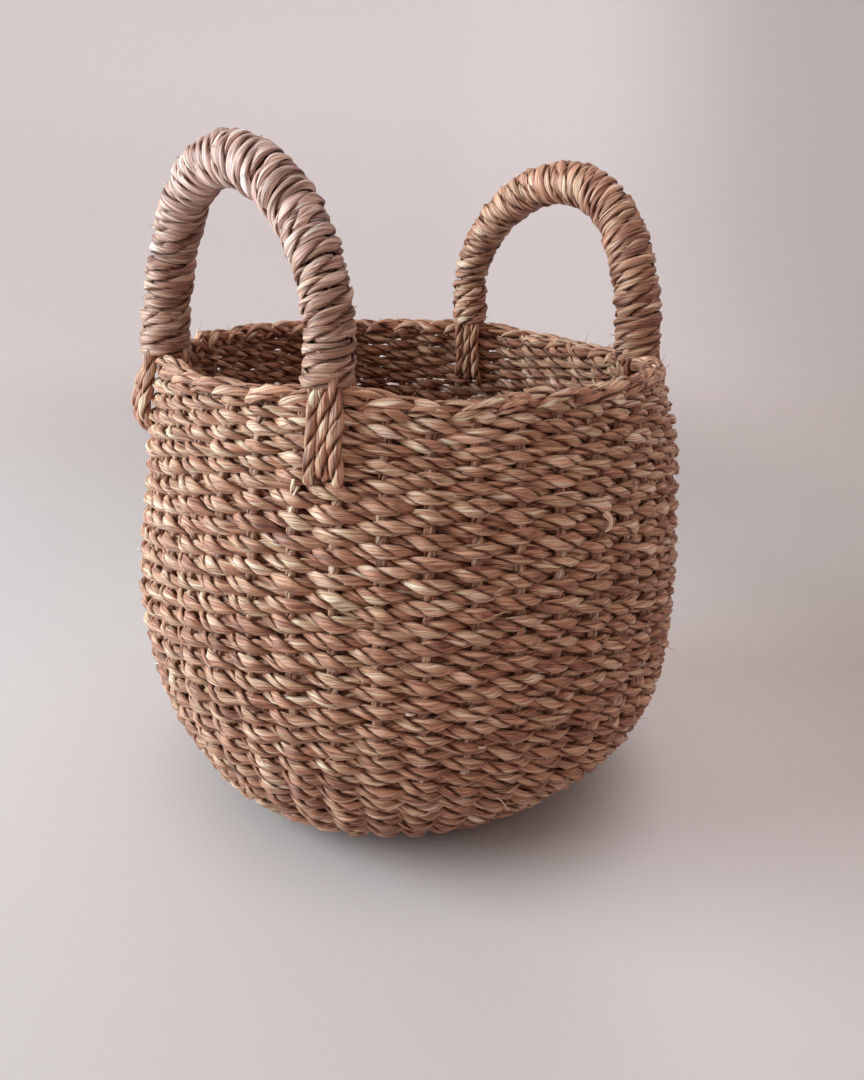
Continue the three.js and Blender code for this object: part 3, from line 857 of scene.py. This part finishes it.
def cord_path(handle, arch, turn, row, side, rng):
    """The middle of one cord, from the tip of one leg over the arch to the tip of the other."""
    distance = np.arange(1.0, arch.length - 1.0, 2.0)
    point, outward, inward = arch.frame(distance)
    share = arch.gathered(distance)
    spacing = CORD_SPACING if side else 0.0
    turned = math.radians(turn)
    reach_out = side * LEG_DEPTH * (1 - share) + spacing * math.cos(turned) * share
    shift = np.where(distance < arch.length / 2, handle["shifts"][0], -handle["shifts"][1])
    reach_in = (row * LEG_SPACING + shift) * (1 - share) + spacing * math.sin(turned) * share
    middle = point + outward * reach_out[:, None] + inward * reach_in[:, None]
    if not side:
        return middle
    legs = []
    # Across the wall, the second frame runs the other way round.
    for foot, way in enumerate((1, -1)):
        length = LEG_LENGTH + rng.uniform(-2.0, 2.5)
        drop = np.arange(length, 1.0, -2.0)
        tuck = smooth(length - LEG_TUCK_LENGTH, length, drop)
        fan = handle["fan"] * smooth(0.0, FAN_START, drop) if foot == 0 and side > 0 else 0.0
        depth = side * (LEG_DEPTH - LEG_TUCK * tuck) + fan * (1 - row) / 2 * (1.0 - tuck)
        splay = row * LEG_SPLAY * smooth(length * 0.5, length, drop)
        splay = splay + rng.uniform(-1.0, 1.0) * smooth(0.0, length, drop)
        radius = wall_radius(WALL_LENGTH - length / 2) + side * LEG_DEPTH
        aside = (row * LEG_SPACING + splay) * way + handle["shifts"][foot] + fan
        legs.append(on_wall(WALL_LENGTH - drop, depth, arch.angles[foot] + aside / radius))
    return np.concatenate([legs[0], middle, legs[1][::-1]])


def make_cords(handle, arch):
    pieces = []
    rng = np.random.default_rng(handle["seed"] * 10)
    for name, turn, row, side in BUNDLE:
        strands = Strands()
        points = along_path(cord_path(handle, arch, turn, row, side, rng), 1.8)
        rise, out = across_path(points, unit(points * [1.0, 1.0, 0.0]))
        run = distances(points)
        hidden = smooth(LEG_LENGTH, LEG_LENGTH + 2 * HANDLE_STRAIGHT, np.minimum(run, run[-1] - run))
        half = CORD_RADIUS * (1.0 + wander(rng, run, *CORD_UNEVEN)) * (1.0 - CORD_SQUEEZE * hidden)
        turns = run[-1] / CORD_LAY
        twist(strands, rng, points, rise, out, half, half, turns, run, 10, pale=0.05, taper=3.0, waver=0.4)
        node = f"{handle['name']}_cord_{name}"
        pieces.append((f"{node}_plies", strands, "seagrass_cord", [node]))
    return pieces


def make_wrap(handle, arch):
    """A loosely twisted pair of leaves, wound turn beside turn round the bundle, its ends tucked under."""
    strands = Strands()
    rng = np.random.default_rng(handle["seed"] * 10 + 5)
    length = arch.length - sum(WRAP_STARTS)
    turns = round(length / WRAP_PITCH) + 1
    turn = np.linspace(0.0, turns, turns * WRAP_STEPS + 1)
    run = turn * math.tau * WRAP_RADIUS
    climbing = turns - 2 * WRAP_FLAT
    climb = np.clip(turn - WRAP_FLAT, 0.0, climbing) / climbing
    middle = smooth(WRAP_FLAT, WRAP_CALM, turn) * smooth(WRAP_FLAT, WRAP_CALM, turns - turn)
    base = WRAP_STARTS[0] + climb * length + middle * wander(rng, run, *WRAP_DRIFT)
    point, outward, inward = arch.frame(base)
    share = arch.gathered(base)
    girth = np.interp(base, np.array(GIRTH_STOPS) * arch.length, handle["girths"])
    tuck = WRAP_TUCK * (1.0 - smooth(0.0, 0.5, turn) * smooth(0.0, 0.5, turns - turn))
    high = sum(wander(rng, run, *heap) for heap in WRAP_HEAPS) - tuck - WRAP_DEPTH
    reach_out, reach_in = ((foot + (girth - foot) * share + high)[:, None] for foot in WRAP_FEET)
    cos, sin = np.cos(math.tau * turn)[:, None], np.sin(math.tau * turn)[:, None]
    centre = point + outward * reach_out * cos + inward * reach_in * sin
    rise, out = across_path(centre, unit(outward * cos / reach_out + inward * sin / reach_in))
    half_rise = WRAP_HEIGHT * (1.0 + wander(rng, run, *WRAP_HEIGHTS))
    half_out = WRAP_DEPTH * (1.0 + wander(rng, run, *WRAP_DEPTHS))
    lays = run[-1] / WRAP_LAY
    twist(
        strands, rng, centre, rise, out, half_rise, half_out, lays, run, 12, taper=10.0, waver=2.3,
        fold=0.17, uneven_size=0.2,
    )
    fray(strands, rng, centre, out, WRAP_DEPTH, 40, length=(1.5, 4.5))
    node = f"{handle['name']}_wrap"
    return [(f"{node}_leaves", strands, handle["look"], [node])]


# Materials

class Graph:
    """A new material and its nodes. A value for a socket is a number, a colour or another node's output."""

    def __init__(self, name):
        self.material = bpy.data.materials.new(name)
        self.material.use_nodes = True
        self.shader = self.material.node_tree.nodes["Principled BSDF"]

    def feed(self, node, inputs):
        for key, value in inputs.items():
            if isinstance(value, bpy.types.NodeSocket):
                self.material.node_tree.links.new(value, node.inputs[key])
            else:
                node.inputs[key].default_value = value

    def node(self, kind, inputs, **settings):
        node = self.material.node_tree.nodes.new(kind)
        for key, value in settings.items():
            setattr(node, key, value)
        self.feed(node, inputs)
        return node

    def math(self, kind, first, second):
        return self.node("ShaderNodeMath", {0: first, 1: second}, operation=kind).outputs[0]

    def scaled(self, value, factor, middle=0.5):
        return self.math("MULTIPLY", self.math("SUBTRACT", value, middle), factor)

    def mix(self, blend, factor, first, second):
        inputs = {"Factor": factor, "A": first, "B": second}
        return self.node("ShaderNodeMix", inputs, data_type="RGBA", blend_type=blend).outputs["Result"]

    def rising(self, value, low, high, first=0.0, last=1.0):
        inputs = {"Value": value, "From Min": low, "From Max": high, "To Min": first, "To Max": last}
        return self.node("ShaderNodeMapRange", inputs, interpolation_type="SMOOTHSTEP").outputs["Result"]

    def ramp(self, value, stops):
        node = self.node("ShaderNodeValToRGB", {"Fac": value})
        elements = node.color_ramp.elements
        while len(elements) < len(stops):
            elements.new(0.5)
        for element, (place, colour) in zip(elements, stops):
            element.position = place
            element.color = (*colour, 1.0)
        return node.outputs["Color"]


def seagrass(name, leaves, painted_top_light=None, roughness=0.55):
    """Dry leaf: strips of differing colour along each strand, fine fibres, dark creases, a waxy shine and
    painted shade deep in the grooves between plies.

    leaves are its lightness and grey; the optional second pair is the lightness and grey that it turns to
    with height above the rim, which is painted light from above.
    """
    graph = Graph(name)
    strand, looks = (
        graph.node("ShaderNodeAttribute", {}, attribute_name=attribute).outputs["Vector"]
        for attribute in ("strand", "looks")
    )
    look = graph.node("ShaderNodeSeparateXYZ", {"Vector": looks})
    tone, groove_shade, hue = (look.outputs[axis] for axis in "XYZ")

    def pattern(kind, cells, inputs, **settings):
        along, across = cells
        mapping = graph.node("ShaderNodeMapping", {"Vector": strand, "Scale": (along, across, across)})
        return graph.node(kind, {"Vector": mapping.outputs["Vector"], "Scale": 1.0, **inputs}, **settings)

    def noise(cells, detail):
        return pattern("ShaderNodeTexNoise", cells, {"Detail": detail}).outputs["Fac"]

    strip = pattern("ShaderNodeTexVoronoi", STRIPS, {}, feature="F1").outputs["Color"]
    edges = pattern("ShaderNodeTexVoronoi", STRIPS, {}, feature="DISTANCE_TO_EDGE").outputs["Distance"]
    split = graph.node("ShaderNodeSeparateColor", {"Color": strip})
    fibres = noise(FIBRES, 3.0)
    streaks = noise(STREAKS, 2.0)
    blotches = noise(BLOTCHES, 2.0)

    level = graph.math("ADD", 0.5, graph.scaled(split.outputs["Red"], STRIP_SHARE))
    level = graph.math("ADD", level, graph.scaled(tone, TONE_SHARE, 0.0))
    for value, share in ((fibres, FIBRE_SHARE), (streaks, STREAK_SHARE), (blotches, BLOTCH_SHARE)):
        level = graph.math("ADD", level, graph.scaled(value, share))
    colour = graph.ramp(level, leaf_colours(*leaves))
    # Painted light from above: a handle's leaves get lighter and greyer towards its top
    if painted_top_light:
        place = graph.node("ShaderNodeNewGeometry", {}).outputs["Position"]
        height = graph.node("ShaderNodeSeparateXYZ", {"Vector": place}).outputs["Z"]
        share = graph.rising(height, *PAINTED_HANDLE_LIGHT_HEIGHTS)
        colour = graph.mix("MIX", share, colour, graph.ramp(level, leaf_colours(*painted_top_light)))
    crease = graph.ramp(edges, CREASE_STOPS)
    colour = graph.mix("MULTIPLY", CREASE_SHARE, colour, crease)
    strip_hue = graph.math("MULTIPLY", split.outputs["Green"], STRIP_HUE)
    tint = graph.ramp(graph.math("ADD", strip_hue, graph.scaled(hue, STRAND_HUE, -1.0)), TINT_STOPS)
    colour = graph.mix("MULTIPLY", 1.0, colour, tint)
    # Painted shade: darker deep in the grooves between plies
    colour = graph.mix("MULTIPLY", graph.math("MULTIPLY", groove_shade, PAINTED_GROOVE_SHARE), colour, PAINTED_GROOVE_COLOUR)

    relief = graph.math("MULTIPLY", fibres, FIBRE_RELIEF)
    for value, share in ((streaks, STREAK_RELIEF), (crease, CREASE_RELIEF)):
        relief = graph.math("ADD", relief, graph.math("MULTIPLY", value, share))
    bump = graph.node("ShaderNodeBump", {"Strength": 0.7, "Distance": RELIEF_DEPTH, "Height": relief})
    graph.feed(
        graph.shader,
        {
            "Base Color": colour,
            "Roughness": graph.math("ADD", roughness, graph.scaled(streaks, 0.4)),
            # Painted shade on the shine: less of it deep in the grooves
            "Specular IOR Level": graph.math("SUBTRACT", 0.75, graph.math("MULTIPLY", groove_shade, 0.65)),
            "Sheen Weight": 0.12,
            "Sheen Roughness": 0.45,
            "Normal": bump.outputs["Normal"],
        },
    )
    return graph.material


def leaf_colours(lightness, grey):
    """Stops of a colour ramp from dark to light. grey takes that share of the colour out."""
    stops = []
    for place, colour in LEAF_STOPS:
        plain = sum(colour) / 3
        mixed = [value + (plain * pink - value) * grey for value, pink in zip(colour, GREY)]
        stops.append((place, tuple(min(value * lightness, 1.0) for value in mixed)))
    return stops


MATERIALS = {slot: seagrass(f"{slot}_look", **look) for slot, look in LOOKS.items()}


def add_object(name, data):
    item = bpy.data.objects.new(name, data)
    bpy.context.scene.collection.objects.link(item)
    return item


def show(pieces):
    for name, strands, slot, nodes in pieces:
        piece = add_object(name, strands.mesh(name))
        piece.data.materials.append(MATERIALS[slot])
        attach(piece, "root")
        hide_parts(*nodes)


# Stage

def cloth():
    """Pale cloth. To the camera it glows with painted light where the room's light reaches, and has painted
    shade by the window.
    """
    graph = Graph("backdrop_cloth")
    place = graph.node("ShaderNodeNewGeometry", {}).outputs["Position"]
    right, _, _ = camera_axes()
    _, window = window_frame()

    def reach(kind, other=(0.0, 0.0, 0.0)):
        node = graph.node("ShaderNodeVectorMath", {0: place, 1: tuple(other)}, operation=kind)
        return node.outputs["Value"]

    aside = reach("DOT_PRODUCT", right)
    distance = reach("LENGTH")
    height = reach("DOT_PRODUCT", UP)
    high = graph.math("ADD", graph.rising(distance, *FAR_GLOW), graph.rising(height, *HIGH_GLOW))
    wall = graph.math("MULTIPLY", high, graph.rising(aside, *RIGHT_FADE))
    near = graph.math("MULTIPLY", graph.rising(distance, *NEAR_GLOW), graph.rising(distance, *NEAR_FADE))
    # Painted light on the floor, most to the right, which lightens the basket's shadow there
    floor = graph.math("MULTIPLY", near, graph.rising(aside, *RIGHT_GLOW))
    seen = graph.node("ShaderNodeLightPath", {}).outputs["Is Camera Ray"]
    # Painted shade near the window, seen only by the camera
    near_window = graph.math("DIVIDE", reach("DISTANCE", window), PAINTED_SHADE_REACH)
    share = graph.math("MINIMUM", graph.math("POWER", near_window, PAINTED_SHADE_FALL), 1.0)
    graph.feed(
        graph.shader,
        {
            "Base Color": graph.mix("MULTIPLY", seen, CLOTH_COLOUR, share),
            "Roughness": 0.9,
            "Specular IOR Level": 0.1,
            "Emission Color": PAINTED_GLOW_COLOUR,
            "Emission Strength": graph.math("MULTIPLY", graph.math("ADD", wall, floor), seen),
        },
    )
    return graph.material


def make_stage():
    """A pale floor that curves up all round into a plain backdrop."""
    profile = [(reach, 0.0) for reach in np.linspace(0.0, STAGE_FLAT, 10)[1:]]
    for turn in np.linspace(0.0, math.pi / 2, 16)[1:]:
        profile.append((STAGE_FLAT + STAGE_BEND * math.sin(turn), STAGE_BEND * (1 - math.cos(turn))))
    profile.append((STAGE_FLAT + STAGE_BEND, STAGE_WALL + STAGE_BEND))
    points = [(0.0, 0.0, 0.0)]
    for reach, level in profile:
        for step in range(STAGE_SIDES):
            angle = math.tau * step / STAGE_SIDES
            points.append((reach * math.cos(angle), reach * math.sin(angle), level))
    faces = [(0, 1 + step, 1 + (step + 1) % STAGE_SIDES) for step in range(STAGE_SIDES)]
    for row in range(len(profile) - 1):
        for step in range(STAGE_SIDES):
            a = 1 + row * STAGE_SIDES + step
            b = 1 + row * STAGE_SIDES + (step + 1) % STAGE_SIDES
            faces.append((a, a + STAGE_SIDES, b + STAGE_SIDES, b))
    mesh = bpy.data.meshes.new("backdrop")
    mesh.from_pydata(points, [], faces)
    mesh.polygons.foreach_set("use_smooth", np.ones(len(faces), bool))
    mesh.materials.append(cloth())
    add_object("backdrop", mesh)


def camera_axes():
    """Right, up and forward of the photograph's camera."""
    ahead = np.array([math.sin(CAMERA_YAW), math.cos(CAMERA_YAW), 0.0])
    forward = ahead * math.cos(CAMERA_PITCH) - UP * math.sin(CAMERA_PITCH)
    level = np.cross(ahead, UP)
    upright = np.cross(level, forward)
    right = level * math.cos(CAMERA_ROLL) + upright * math.sin(CAMERA_ROLL)
    up = upright * math.cos(CAMERA_ROLL) - level * math.sin(CAMERA_ROLL)
    cos, sin = math.cos(CAMERA_TURN), math.sin(CAMERA_TURN)
    spin = np.array([[cos, -sin, 0.0], [sin, cos, 0.0], [0.0, 0.0, 1.0]])
    return spin @ right, spin @ up, spin @ forward


def placement(axes, place):
    """The matrix that turns an object's x, y and z to axes and puts it at place, in metres."""
    rows = [[*axis, 0.0] for axis in axes] + [[*place, 1.0]]
    return Matrix(rows).transposed()


def make_camera():
    right, up, forward = camera_axes()
    data = bpy.data.cameras.new("camera")
    data.sensor_width = SENSOR_WIDTH
    data.lens = FOCAL_PIXELS / PICTURE_HEIGHT * SENSOR_WIDTH
    data.clip_start = 0.01
    data.clip_end = 50.0
    camera = add_object("camera", data)
    camera.matrix_world = placement((right, up, -forward), np.array(CAMERA_PLACE) * MM)
    bpy.context.scene.camera = camera


def window_frame():
    """The way from the basket towards the window, and the window's place."""
    angle = math.atan2(CAMERA_PLACE[1], CAMERA_PLACE[0]) + WINDOW_AZIMUTH
    level = math.cos(WINDOW_ELEVATION)
    way = np.array([math.cos(angle) * level, math.sin(angle) * level, math.sin(WINDOW_ELEVATION)])
    return way, way * WINDOW_DISTANCE + UP * WINDOW_AIM


def make_lights():
    data = bpy.data.lights.new("window", "AREA")
    data.shape = "DISK"
    data.size = WINDOW_SIZE
    data.energy = WINDOW_POWER
    data.color = WINDOW_COLOUR
    window = add_object("window", data)
    way, place = window_frame()
    side = unit(np.cross(UP, way))
    window.matrix_world = placement((side, np.cross(way, side), way), place)
    window.visible_camera = False
    world = bpy.data.worlds.new("room")
    world.use_nodes = True
    background = world.node_tree.nodes["Background"]
    background.inputs["Color"].default_value = ROOM_COLOUR
    background.inputs["Strength"].default_value = ROOM_STRENGTH
    bpy.context.scene.world = world
    bpy.context.scene.view_settings.view_transform = "Standard"


make_camera()
make_lights()
make_stage()
show(make_wall())
show(make_stakes())
show(make_base())
show(make_border())
for handle in HANDLES:
    arch = Arch(handle)
    show(make_cords(handle, arch))
    show(make_wrap(handle, arch))
